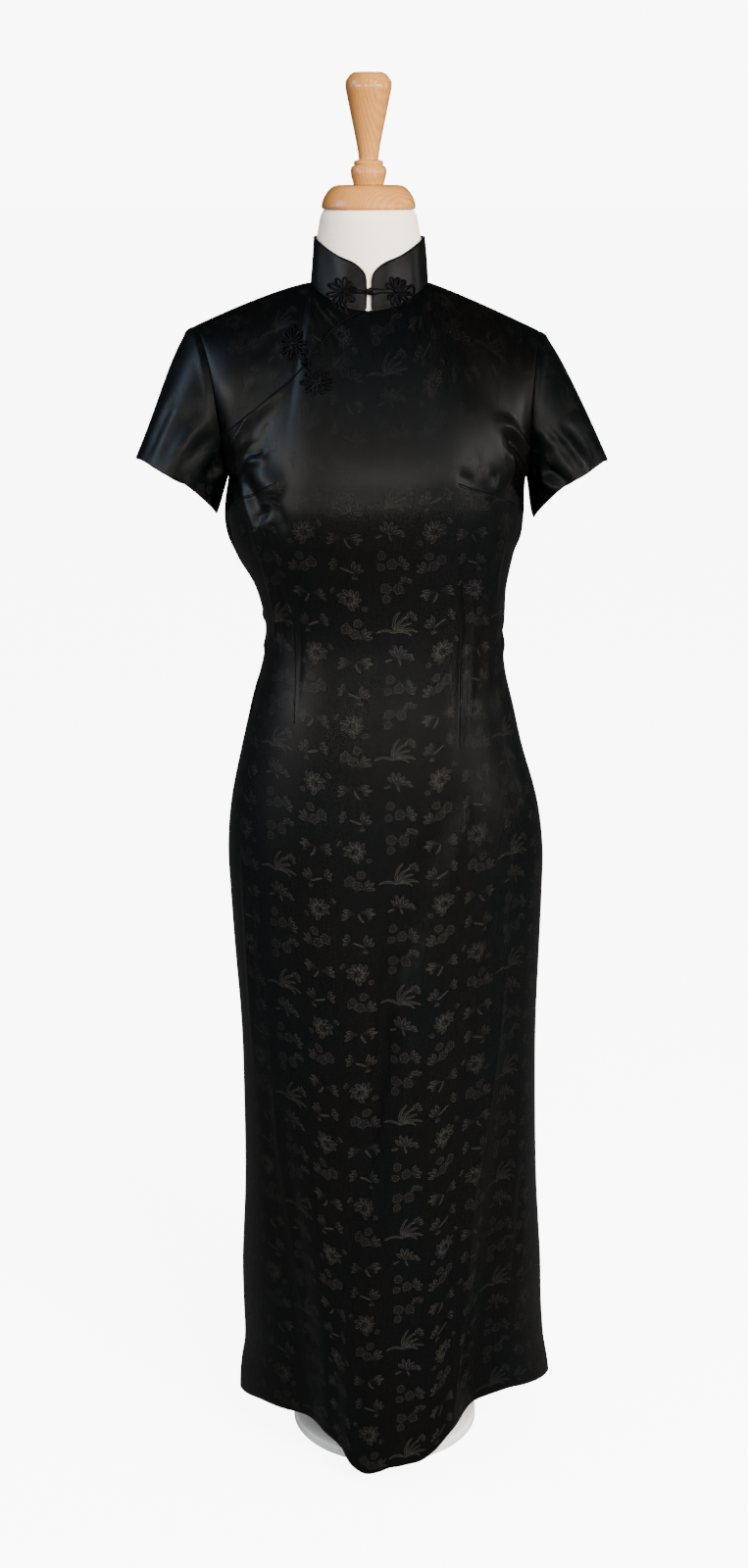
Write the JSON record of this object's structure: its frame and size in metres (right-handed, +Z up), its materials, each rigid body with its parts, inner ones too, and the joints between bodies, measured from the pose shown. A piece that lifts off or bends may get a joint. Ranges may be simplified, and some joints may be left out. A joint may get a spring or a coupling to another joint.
{
  "type": "cheongsam dress on a limbless dress form",
  "caption": "Long fitted dress with short set-in sleeves, stand-up collar, diagonal frog-fastened opening and side slits, worn by a limbless dress form on a round base.",
  "frame": {"origin": "a point on the underside of the round base, on the pole's axis, level with the floor", "axes": "+Z up, the dress faces -Y, +X to the right as seen from the front"},
  "size_m": [0.5111, 0.2987, 1.581],
  "materials": {
    "satin": "black satin damask with small woven flower sprays",
    "cord": "black satin covered cord",
    "form_cover": "off-white stretched jersey",
    "wood": "turned light wood, clear lacquer",
    "steel": "satin steel"
  },
  "bodies": {
    "root": {"front": "satin", "underlap": "satin", "back": "satin", "collar": "satin", "sleeve_left": "satin", "sleeve_right": "satin", "flower_collar_left": "cord", "flower_collar_right": "cord", "flower_chest_upper": "cord", "flower_chest_lower": "cord", "knot_collar": "cord", "knot_chest": "cord", "form_body": "form_cover", "neck_cap": "wood", "finial": "wood", "pole": "steel", "base": "steel"}
  },
  "joints": []
}
